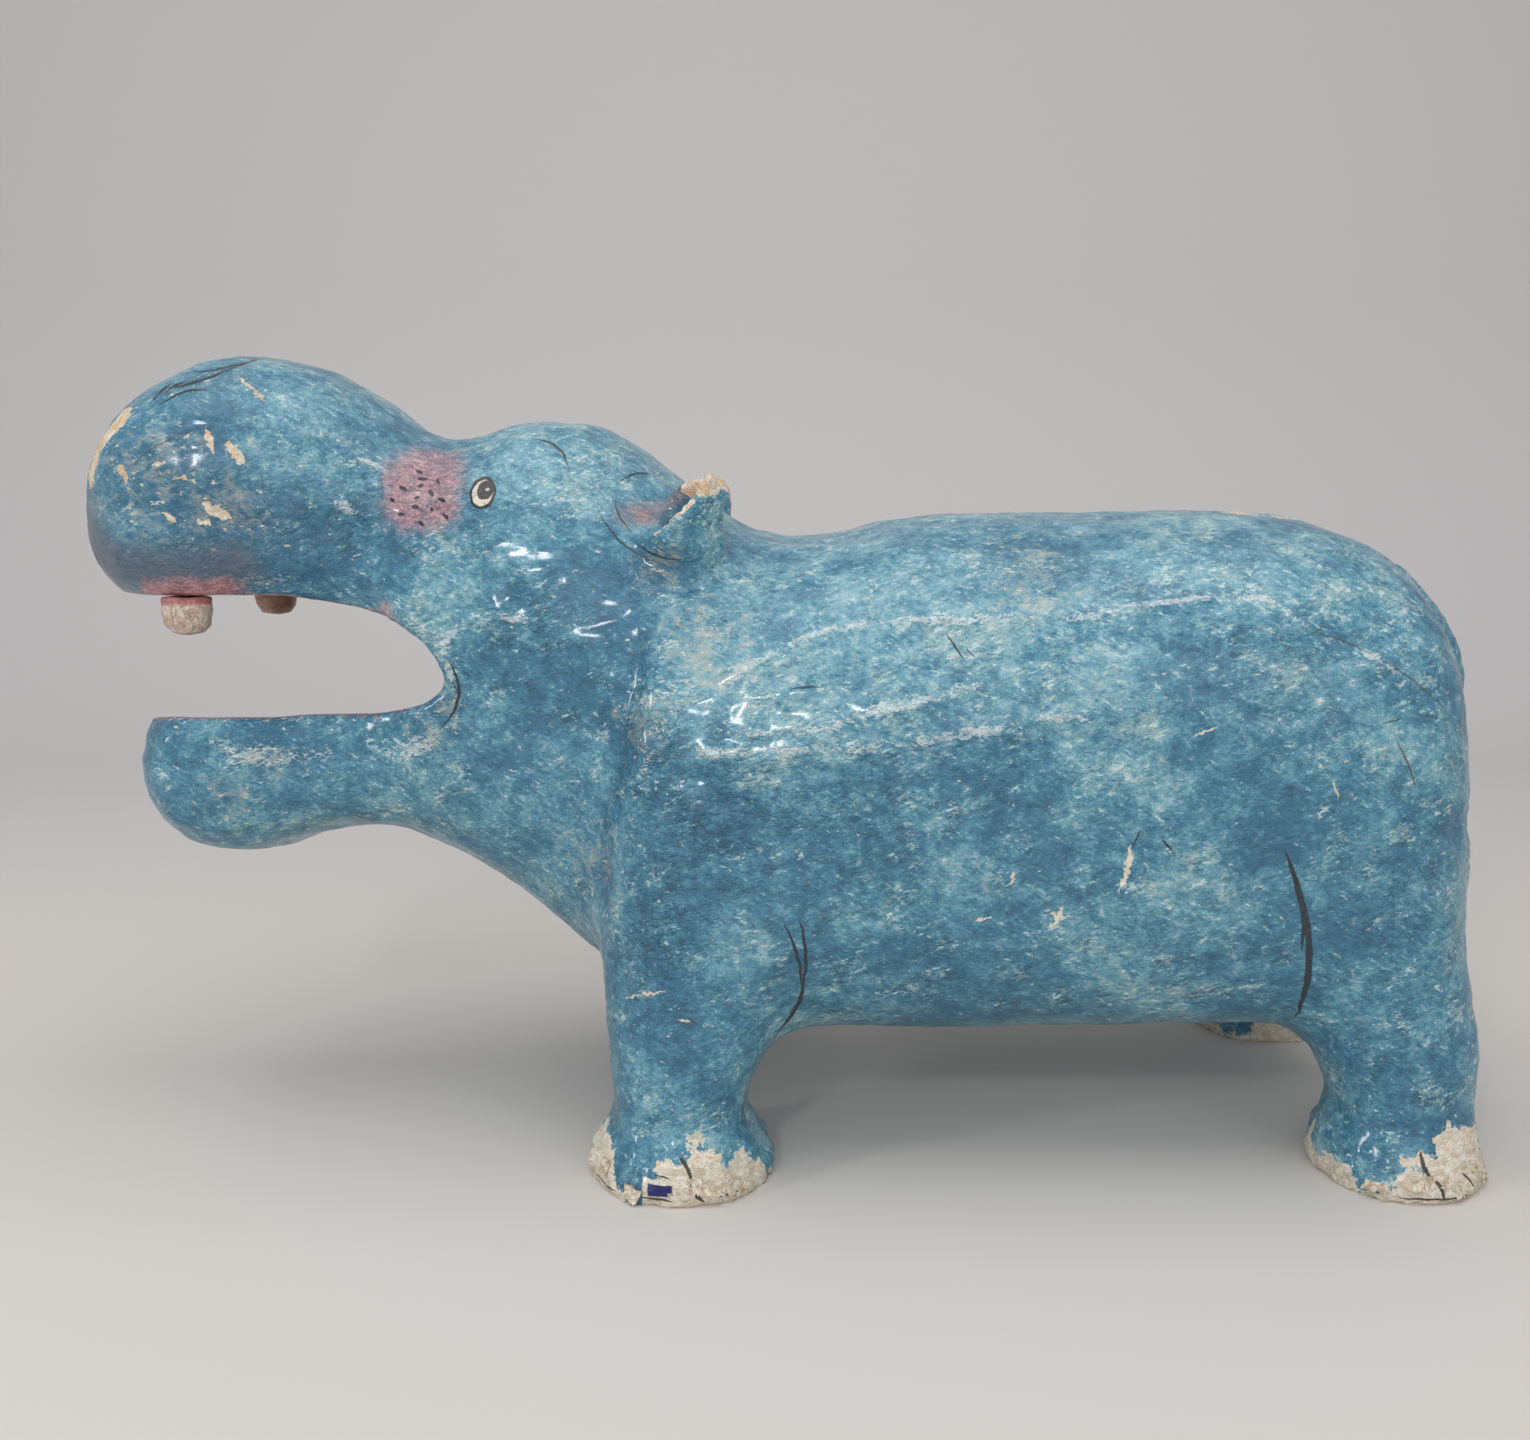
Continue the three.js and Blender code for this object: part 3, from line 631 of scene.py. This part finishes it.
# %% [markdown]
# ## The blues
# Four blues were sponged and dragged over each other: a deep one in the hollows, a middle one, a
# grey-green one dabbed on with a sponge, and a pale chalky one in short streaks. The first two are a
# ramp over a slow noise. The dabs need crisp grains, so a fine noise is added to a slow one and cut
# by a narrow step: the grains crowd where the slow noise is high, as they do under a real sponge.
# The streaks lean two ways, as a hand's strokes do.

# %% Blue layers
def blue_layers(book, field):
    """The broken blue paint and the noises that later layers use again."""
    sponge = book.noise(8.5, detail=5, rough=0.78, seed=2)
    patches = book.noise(15, (1.3, 1, 1), detail=4, rough=0.7, seed=5)
    grain = book.noise(1.8, (1.5, 1, 0.9), detail=3, rough=0.85, seed=6)
    drag_down = book.noise(2.3, (3.6, 1.5, 1), detail=3, rough=0.8, seed=3, turn=24)
    drag_up = book.noise(2.3, (3.2, 1.5, 1), detail=3, rough=0.8, seed=4, turn=-32)
    lean = (patches * 5 - 2).least(1).most(0)
    streaks = drag_down * lean + drag_up * (1 - lean)
    depth = (0.47 + field["tone"] * 0.13 + (sponge - 0.5) * 1.2 + (streaks - 0.5) + (grain - 0.5) * 0.35
             - field["crease"] * 0.1)
    blue = book.make("ShaderNodeValToRGB", {"stops": [
        (0.16, paint(33, 88, 114)), (0.38, paint(58, 120, 146)), (0.54, paint(86, 146, 166)),
        (0.7, paint(122, 170, 184)), (0.9, paint(172, 202, 206))]}, {"Fac": depth})
    deep = ((1 - grain) * 0.8 + (1 - patches) * 1.3 - field["tone"] * 0.07).step(1.12, 1.22)
    blue = book.mix(deep * 0.55, blue, paint(38, 104, 136))
    dabs = (grain * 1.2 + patches * 1.35 + field["tone"] * 0.07).step(1.4, 1.5)
    blue = book.mix(dabs * 0.6, blue, paint(156, 184, 182))
    chalk = streaks * 1.4 + grain * 0.5 + patches * 0.3 + field["tone"] * 0.03 + field["rub"] * 0.12
    colour = book.mix(chalk.step(1.24, 1.33) * 0.72, blue, paint(200, 218, 216))
    return colour, sponge, grain, streaks, dabs

# %% [markdown]
# ## What lies over the blue
# Worn ridges are pale, partly from real wear and partly as painted highlights on the varnish's
# crinkles, and the grime of years is a warm grey. The snout's front is greyed violet. The cheek, the
# gums and the ears' insides are pink, dabbed on with the same sponge.

# %% Tinted layers
def tinted_layers(book, field, colour, sponge, grain, streaks, crinkle):
    """Wear with painted highlights, grime, violet and pink over the blue."""
    # Partly painted highlight: pale crinkle lines along the worn ridges stand in for the varnish's glints.
    rubbed_and_glint = (field["rub"] * (crinkle * 0.8 + grain * 1.4 + streaks * 1.2)).step(0.85, 1.3)
    colour = book.mix(rubbed_and_glint * 0.75, colour, paint(204, 218, 220))
    stained = (sponge * 0.5 + streaks * 0.6 + field["grimy"] * 0.13).step(0.64, 0.74)
    colour = book.mix(stained * 0.45, colour, paint(160, 148, 128))
    flecks = book.noise(2.9, (1.8, 1, 0.9), detail=3, rough=0.7, seed=9) + field["grimy"] * 0.05
    colour = book.mix(flecks.step(0.68, 0.71) * 0.8, colour, paint(216, 208, 186))
    violet = (field["slate"] * (0.5 + sponge)).step(0.05, 1.0)
    colour = book.mix(violet * 0.85, colour, paint(76, 84, 102))
    blushed = (field["blush"] + (grain - 0.5) * 0.7 + (sponge - 0.5) * 0.9).step(0.22, 0.92)
    pink = book.mix(grain.step(0.36, 0.62), paint(158, 90, 96), paint(206, 146, 144))
    return book.mix(blushed * 0.8, colour, pink)

# %% [markdown]
# ## The eye and the drawn lines
# The eye is two ovals and a dot: a black ring, an off-white ball, a dark pupil set high and forward,
# and a small grey light in it. A slow wobble is added to the place of every line, because no brush
# runs true. The strokes belong to the outer side of the animal, so the place's distance from the
# middle decides where they may show.

# %% Draw the eye and the lines
EYE = (-135.4, 292.0)


def oval(book, at, middle, half_wide, half_high):
    """How far out a place is in an oval seen from the side: 1 on its edge."""
    offset = book.vector("SUBTRACT", at, (middle[0], 0, middle[1]))
    return book.vector("LENGTH", book.vector("MULTIPLY", offset, (1 / half_wide, 0, 1 / half_high)))


def shaken_place(book, size, reach):
    """The place, moved about by a noise of the given size and reach in millimetres."""
    wobble = book.make("ShaderNodeTexNoise", {}, {"Vector": book.vector("DIVIDE", book.place, (size,) * 3),
                                                  "Scale": 1.0, "Detail": 2.0}, "Color")
    centred = book.vector("SUBTRACT", wobble, (0.5,) * 3)
    return book.vector("ADD", book.place, book.vector("MULTIPLY", centred, (reach,) * 3))


def painted_eye(book, colour, at, where):
    """The ball, the pupil with its light, and the ring, laid over each other in that order."""
    ball = oval(book, at, EYE, 5.1, 6.1)
    pupil = oval(book, at, (EYE[0] + 1.0, EYE[1] + 1.2), 3.7, 4.1)
    glint = oval(book, at, (EYE[0] + 1.9, EYE[1] + 1.4), 0.9, 0.8)
    colour = book.mix(ball.step(1.04, 0.92) * where, colour, paint(208, 204, 186))
    colour = book.mix(pupil.step(1.06, 0.94) * where, colour, paint(50, 42, 42))
    colour = book.mix(glint.step(1.1, 0.7) * where, colour, paint(176, 178, 180))
    ring = abs(ball - 1.03).step(0.15, 0.08) * where
    return book.mix(ring, colour, paint(22, 24, 28))

# %% [markdown]
# ## Bare paste and wrinkles
# The flaked places get a ragged edge by adding noise to the soft field before it is cut. The paste
# under the paint is cream with tan stains and dirt, it is dull, and it lies a little lower. The
# relief is the paper's creases, the wrinkled varnish and the brush marks. It goes through one bump
# node. A bump node asks for its height three times, so the drawn lines are kept out of it.

# %% Bare paste
def bare_paste(book, bare, rag, grain):
    """How much paste shows, and its colour, with a paler lip where the paint breaks off."""
    edge = bare + (rag - 0.5) * 1.5
    flaked = edge.step(0.48, 0.52)
    lip = abs(edge - 0.53).step(0.07, 0.02)
    stain = book.noise(4, (1.6, 1, 0.8), detail=4, rough=0.75, seed=11)
    paste = book.mix(stain.step(0.36, 0.62), paint(198, 184, 160), paint(230, 224, 210))
    yellowed = (rag * 0.5 + stain * 0.5 + book.part("Z").step(200, 290) * 0.07).step(0.56, 0.62)
    paste = book.mix(yellowed * 0.7, paste, paint(206, 148, 78))
    dirt = (stain * 0.5 + grain * 0.6).step(0.66, 0.74)
    paste = book.mix(dirt * 0.6, paste, paint(104, 90, 76))
    return flaked, book.mix(lip * 0.75, paste, paint(226, 220, 206))


def skin_relief(book, field, crinkle):
    """The slope of the paper, the varnish and the brush marks."""
    creases = abs(book.noise(10, (1.6, 1, 0.9), detail=4, rough=0.62, twist=0.8, seed=14) - 0.5)
    paper = (1 - creases.step(0, 0.14)) * (0.2 + field["wrinkled"] * 0.5)
    brush = book.noise(2.4, (1.3, 1.1, 0.9), detail=3, rough=0.75, seed=16)
    varnish = crinkle * (0.1 + field["rub"] * 0.4 + field["wrinkled"] * 0.55)
    return book.bump(paper * 0.4 + varnish + brush * 1.3 - field["bare"] * 0.8, 0.9)

# %% [markdown]
# ## Four paints that match
# The drawn lines cost render time wherever their nodes are, so the skin has four materials that are
# the same paint: with the head's lines, with the flank's, with the feet's, and with none. Each face of
# the skin takes the one that its place needs, and no seam shows, because the noises all use one place.
# The near front foot also shows a scrap of printed paper, which is a dark-blue patch in a pale border.

# %% Mix the four paints
FIELDS = ["tone", "rub", "crease", "bare", "blush", "slate", "grimy", "wrinkled"]
HEAD_INNER, FLANK_INNER, FADE = 22, 84, 4   # how far from the middle the lines start, and how softly


def printed_scrap(book, colour, at):
    """A torn scrap of print on the left front foot alone."""
    offset = book.vector("ABSOLUTE", book.vector("SUBTRACT", at, (FOOT_SCRAP[0], 0, FOOT_SCRAP[1])))
    across, up, on_left = book.part("X", offset), book.part("Z", offset), book.part("Y").step(-110, -116)
    colour = book.mix((across * 0.56).most(up).step(4.3, 3.9) * on_left, colour, paint(222, 214, 196))
    return book.mix((across * 0.5).most(up).step(2.8, 2.4) * on_left, colour, paint(40, 44, 104))


def skin_paint(name, lines=(), cracks=(), chips=(), inner=0, with_eye=False, with_scrap=False):
    """The varnished blue paint, with drawn lines further than inner from the middle."""
    book = Book(name)
    field = {each: book.field(each) for each in FIELDS}
    crinkle = 1 - abs(book.noise(4.2, (2.0, 1, 0.9), detail=3, rough=0.65, seed=15) - 0.5).step(0, 0.07)
    colour, sponge, grain, streaks, dabs = blue_layers(book, field)
    colour = tinted_layers(book, field, colour, sponge, grain, streaks, crinkle)
    rag = book.noise(7, detail=5, rough=0.75, twist=0.8, seed=10)
    flaked, paste = bare_paste(book, field["bare"], rag, grain)
    shown = flaked
    if lines:
        where = abs(book.part("Y")).step(inner, inner + FADE)
        at = shaken_place(book, 5, 1.5)
        if with_eye:
            colour = painted_eye(book, colour, at, where)
        ink = strokes(book, at, lines) * where * (0.82 + sponge * 0.3)
        colour = book.mix(ink.least(1), colour, paint(22, 34, 42))
        if cracks:
            colour = book.mix(strokes(book, at, cracks) * where * 0.8, colour, paint(72, 70, 62))
        if chips:
            shown = shown.most(strokes(book, shaken_place(book, 2.4, 4.5), chips) * where)
    colour = book.mix(shown, colour, paste)
    if with_scrap:
        colour = printed_scrap(book, colour, at)
        colour = book.mix(strokes(book, at, lines) * where * 0.9, colour, paint(40, 36, 34))
    rough = 0.32 + sponge * 0.2 + dabs * 0.1
    return book.finish({"Base Color": colour, "Roughness": rough + shown * (0.85 - rough),
                        "Normal": skin_relief(book, field, crinkle), "IOR": 1.5,
                        "Coat Weight": (1 - shown) * 0.45, "Coat Roughness": 0.12})


skin.data.materials.append(skin_paint("plain_blue_paint"))
skin.data.materials.append(
    skin_paint("face_blue_paint", FACE_LINES, FACE_CRACKS, FACE_CHIPS, HEAD_INNER, with_eye=True))
skin.data.materials.append(
    skin_paint("flank_blue_paint", FLANK_LINES, FLANK_CRACKS, FLANK_CHIPS, FLANK_INNER))
skin.data.materials.append(skin_paint("foot_blue_paint", FOOT_LINES, inner=FLANK_INNER, with_scrap=True))

# %% Give each face of the skin its paint
def near_lines(middles, rows, margin):
    """Whether each place lies within a margin of a line's box, seen from the side."""
    near = np.zeros(len(middles), dtype=bool)
    for start, end, bow, width in rows:
        reach = margin + abs(bow) + width
        lows, highs = np.minimum(start, end) - reach, np.maximum(start, end) + reach
        near |= np.all((middles[:, [0, 2]] > lows) & (middles[:, [0, 2]] < highs), axis=1)
    return near


middles = np.empty(len(skin.data.polygons) * 3)
skin.data.polygons.foreach_get("center", middles)
middles = middles.reshape(-1, 3) / MM
aside = np.abs(middles[:, 1])
face_rows = FACE_LINES + FACE_CRACKS + FACE_CHIPS + [((EYE[0] - 3, EYE[1]), (EYE[0] + 3, EYE[1]), 4, 4)]
flank_rows = FLANK_LINES + FLANK_CRACKS + FLANK_CHIPS
which = np.zeros(len(middles), dtype=np.int32)
which[near_lines(middles, face_rows, 5) & (aside > HEAD_INNER - FADE)] = 1
which[near_lines(middles, flank_rows, 5) & (aside > FLANK_INNER - FADE)] = 2
which[near_lines(middles, FOOT_LINES, 6) & (aside > FLANK_INNER - FADE)] = 3
skin.data.polygons.foreach_set("material_index", which)
shade_smooth(skin.data)
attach(skin, "root")
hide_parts("hippo")
print("faces with each paint:", np.bincount(which).tolist())
print("triangles of the skin:", sum(len(face.vertices) - 2 for face in skin.data.polygons))

# %% [markdown]
# ## Torn paper at the feet
# Where the near feet have knocked against things, the glued layers have come apart, and small flaps of
# paper hang by their upper edge. Each flap is a little grid of points that starts on the skin, hangs
# down and bends outward. Its free edge is ragged, and its upper edge starts at the point of the skin
# that is nearest to the place given for it. A solidify modifier gives the paper its thickness, and is
# applied at once, so that the piece is a plain mesh.

# %% Hang the torn flaps
ROWS, COLUMNS = 5, 7
PAPER_THICKNESS, FLAP_CLEARANCE = 0.7, 0.5   # millimetres
FLAPS = [(-82, -110, 12), (-68, -125, 7), (-52, -128, 7), (-44, -127, 12), (-36, -126, 7), (-26, -121, 9),
         (256, -123, 9), (266, -125, 13), (275, -122, 8), (284, -116, 14), (291, -108, 9), (242, -118, 7)]
flap_corners, flap_faces = [], []
skin_normal = normals_of(skin.data)
for i, place in enumerate(FLAPS):
    nearest = int(np.argmin(np.linalg.norm(points - place, axis=1)))
    outward = skin_normal[nearest] * (1, 1, 0)
    outward = outward / np.linalg.norm(outward)
    sideways = np.array([-outward[1], outward[0], 0])
    wide, tall = 8 + 3 * math.sin(i * 1.9), 6 + 2 * math.sin(i * 2.7)
    first = len(flap_corners)
    for down in range(ROWS):
        dropped = down / (ROWS - 1)
        for over in range(COLUMNS):
            ragged_end = 0.75 + 0.25 * math.sin(over * 2.3 + i * 1.3)
            drop = dropped * tall * (1 if dropped < 1 else ragged_end)
            spread = (over / (COLUMNS - 1) - 0.5) * wide * (1 - 0.12 * down * (0.5 + 0.5 * math.sin(i)))
            lift = 0.4 + 2.4 * dropped ** 1.5 + 0.5 * math.sin(over * 1.7 + i)
            flap_corners.append(points[nearest] + sideways * spread + outward * lift - (0, 0, drop))
    for down in range(ROWS - 1):
        for over in range(COLUMNS - 1):
            corner = first + down * COLUMNS + over
            flap_faces.append((corner, corner + 1, corner + COLUMNS + 1, corner + COLUMNS))
flap_corners = np.clip(flap_corners, low + FLAP_CLEARANCE, high - FLAP_CLEARANCE)
flap_mesh = bpy.data.meshes.new("torn_paper")
flap_mesh.from_pydata((flap_corners * MM).tolist(), [], flap_faces)
flaps = bpy.data.objects.new("torn_paper", flap_mesh)
bpy.context.scene.collection.objects.link(flaps)
thick = flaps.modifiers.new("thick", "SOLIDIFY")
thick.thickness, thick.offset = PAPER_THICKNESS * MM, 0
flaps.data = bpy.data.meshes.new_from_object(flaps.evaluated_get(bpy.context.evaluated_depsgraph_get()))
flaps.modifiers.clear()
bpy.data.meshes.remove(flap_mesh)

pulp = Book("torn_pulp")
soiled = pulp.noise(3, (1, 1, 0.7), detail=4, rough=0.7, seed=41)
pulp_colour = pulp.mix(soiled.step(0.4, 0.62), paint(178, 160, 136), paint(226, 218, 202))
flaps.data.materials.append(pulp.finish({"Base Color": pulp_colour, "Roughness": 0.9,
                                         "Normal": pulp.bump(soiled, 0.4)}))
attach(flaps, "root")
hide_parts("hippo")
print(len(FLAPS), "flaps with", len(flaps.data.polygons), "faces")

# %% [markdown]
# ## The tusks
# Each tusk is a stub of paste pressed against the gum, wider at the root, with a flat worn end. It is
# remeshed finely from its solid, dented by noise, and painted pinkish cream with a brown wash.

# %% Model and paint the tusks
TUSK_STEP, TUSK_ROUNDS = 1.0, 6
GUM_LINE = 246.4   # how high the paste joins the gum, in millimetres


def tusk_paint():
    """Stained paste, browner on the far tusk as painted shade, and pink where it meets the gum."""
    book = Book("tusk_paint")
    wash = book.noise(5, detail=5, rough=0.7, twist=1.0, seed=21)
    grain = book.noise(1.6, detail=4, rough=0.7, seed=22)
    height = book.part("Z") + wash * 6
    far = book.part("Y").step(20, 40)
    colour = book.mix(wash.step(0.35, 0.65), paint(184, 150, 136), paint(206, 196, 178))
    colour = book.mix(grain.step(0.5, 0.66) * 0.5, colour, paint(128, 108, 92))
    # Painted shade: the far tusk is made browner, as shade makes it.
    colour = book.mix(far * (0.25 + wash * 0.8), colour, paint(152, 96, 58))
    marble = book.noise(5.5, (1, 1, 1.6), detail=3, rough=0.6, twist=1.2, seed=23)
    veins = 1 - abs(marble - 0.5).step(0, 0.03)
    colour = book.mix(veins * 0.2, colour, paint(112, 84, 72))
    root = height.step(GUM_LINE + 0.1, GUM_LINE + 2.1)
    colour = book.mix(root * 0.9, colour, paint(176, 98, 102))
    line = abs(height - GUM_LINE).step(0.8, 0.2)
    colour = book.mix(line * 0.5, colour, paint(226, 206, 190))
    bumps = book.bump(wash * 0.7 + grain * 0.4 - veins * 0.5, 0.6)
    return book.finish({"Base Color": colour, "Roughness": 0.42 + wash * 0.2, "Normal": bumps,
                        "Coat Weight": 0.3, "Coat Roughness": 0.2})


tusk_material = tusk_paint()
for node, seed in (("left_tusk", 31), ("right_tusk", 32)):
    tusk = remeshed(node, "painted_" + node, TUSK_STEP)
    tusk_points = relax(points_of(tusk.data), edges_of(tusk.data), TUSK_ROUNDS)
    put_points(tusk.data, tusk_points)
    tusk_height = (0.5 * lumps(tusk_points, 9, seed, depth=2)
                   + 0.2 * lumps(tusk_points, 3, seed + 3, depth=2))
    tusk_points += normals_of(tusk.data) * (tusk_height - 0.15)[:, None]
    put_points(tusk.data, tusk_points)
    tusk.data.materials.append(tusk_material)
    shade_smooth(tusk.data)
    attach(tusk, "root")
    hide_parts(node)
    print(tusk.name, "has", len(tusk.data.vertices), "points")

# %% [markdown]
# ## The room
# The animal stands on a pale board that sweeps up into a wall, so there is no edge between them. The
# wall is well behind the animal, which leaves room to look at it from all sides.

# %% Floor and wall
WALL_AT, BEND_RADIUS, WALL_TOP, HALF_FLOOR, BEND_PARTS = 1.5, 0.6, 3.4, 4.0, 24


def sweep_mesh():
    """A floor that curves up into a wall."""
    bend_at = WALL_AT - BEND_RADIUS
    profile = [(-HALF_FLOOR, 0.0), (bend_at, 0.0)]
    for i in range(1, BEND_PARTS + 1):
        angle = math.pi / 2 * i / BEND_PARTS
        profile.append((bend_at + BEND_RADIUS * math.sin(angle), BEND_RADIUS * (1 - math.cos(angle))))
    profile.append((WALL_AT, WALL_TOP))
    mesh = bpy.data.meshes.new("pale_sweep")
    corners = [(s * HALF_FLOOR, py, pz) for py, pz in profile for s in (-1, 1)]
    faces = [(2 * i, 2 * i + 1, 2 * i + 3, 2 * i + 2) for i in range(len(profile) - 1)]
    mesh.from_pydata(corners, [], faces)
    return mesh


sweep = bpy.data.objects.new("pale_sweep", sweep_mesh())
bpy.context.scene.collection.objects.link(sweep)
shade_smooth(sweep.data)
board = Book("pale_board")
board_colour = board.mix(board.part("Y").step(150, 900), paint(211, 206, 200), paint(212, 209, 207))
sweep.data.materials.append(board.finish({"Base Color": board_colour, "Roughness": 0.75}))
print("the wall stands", WALL_AT, "metres behind the animal")

# %% [markdown]
# ## Light
# The light is soft. A large lamp overhead gives most of it, and a wide one in front fills the shadows.
# Two small ones, in front on the left and further round the side, put the sharp highlights on the
# wrinkled varnish. They could be one, but then the shoulder or the snout would stay dull.

# %% Lamps and air
AIR_COLOUR, AIR_STRENGTH = (0.95, 0.96, 1.0, 1), 0.56


def lamp(name, place, target, size, power):
    """A rectangular lamp turned towards its target."""
    data = bpy.data.lights.new(name, "AREA")
    data.shape = "RECTANGLE"
    data.size, data.size_y = size
    data.energy = power
    made = bpy.data.objects.new(name, data)
    made.location = place
    made.rotation_euler = (Vector(target) - Vector(place)).to_track_quat("-Z", "Y").to_euler()
    bpy.context.scene.collection.objects.link(made)
    print(name, "has", power, "watts")


lamp("ceiling", (0, -0.2, 1.5), (0, 0, 0), (1.6, 1.1), 9)
lamp("front_left", (-0.42, -1.3, 0.9), (0, 0, 0.15), (0.12, 0.12), 2.6)
lamp("side_window", (-1.27, -0.73, 0.58), (0, 0, 0.15), (0.14, 0.2), 3)
lamp("front_fill", (0.3, -1.6, 0.8), (0, 0, 0.15), (2.0, 1.0), 6.9)
world = bpy.data.worlds.new("room")
bpy.context.scene.world = world
world.use_nodes = True
air = world.node_tree.nodes["Background"]
air.inputs["Color"].default_value, air.inputs["Strength"].default_value = AIR_COLOUR, AIR_STRENGTH
bpy.context.scene.view_settings.view_transform = "Standard"
